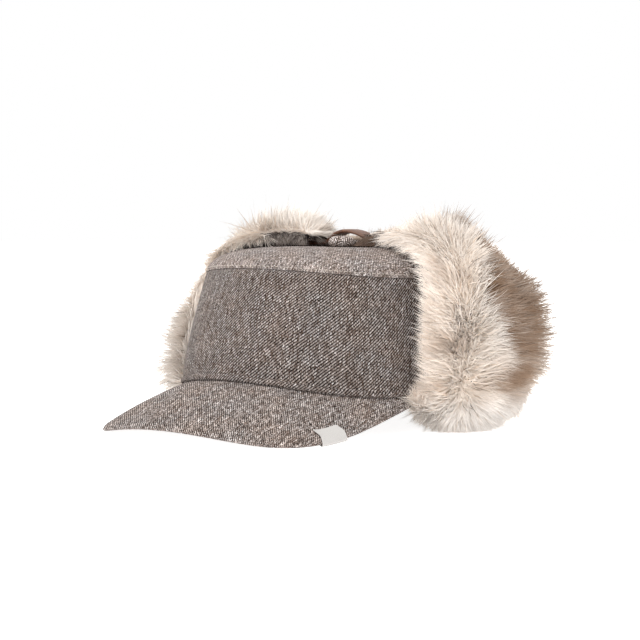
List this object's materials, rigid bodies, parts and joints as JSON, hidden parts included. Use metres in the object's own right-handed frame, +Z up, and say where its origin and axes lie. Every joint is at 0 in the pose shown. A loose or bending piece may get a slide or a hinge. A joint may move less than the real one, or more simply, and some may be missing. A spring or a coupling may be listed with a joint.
{
  "type": "earflap cap",
  "caption": "Peaked tweed cap whose deep-pile fur ear and neck flaps are folded up round the crown and held by a strap across its top.",
  "frame": {"origin": "middle of the footprint, on the surface the cap rests on", "axes": "+Z up, -Y the way the wearer faces, +X the wearer's left"},
  "size_m": [0.2426, 0.2902, 0.1276],
  "materials": {
    "tweed": "woven salt-and-pepper wool twill",
    "cream_fur": "long soft pile, cream with tan flecks",
    "brown_fur": "long soft pile, brown with pale tips",
    "leather": "smooth brown, slight sheen",
    "label_cloth": "fine plain weave, bare"
  },
  "bodies": {
    "root": {"crown_wall": "tweed", "crown_top": "tweed", "peak": "tweed", "label_tab": "label_cloth", "top_button": "tweed", "flap_strap": "leather", "ear_flap_left": "tweed", "ear_flap_right": "tweed", "neck_flap": "tweed", "ear_fur_left": "cream_fur", "ear_fur_right": "cream_fur", "neck_fur": "brown_fur"}
  },
  "joints": []
}
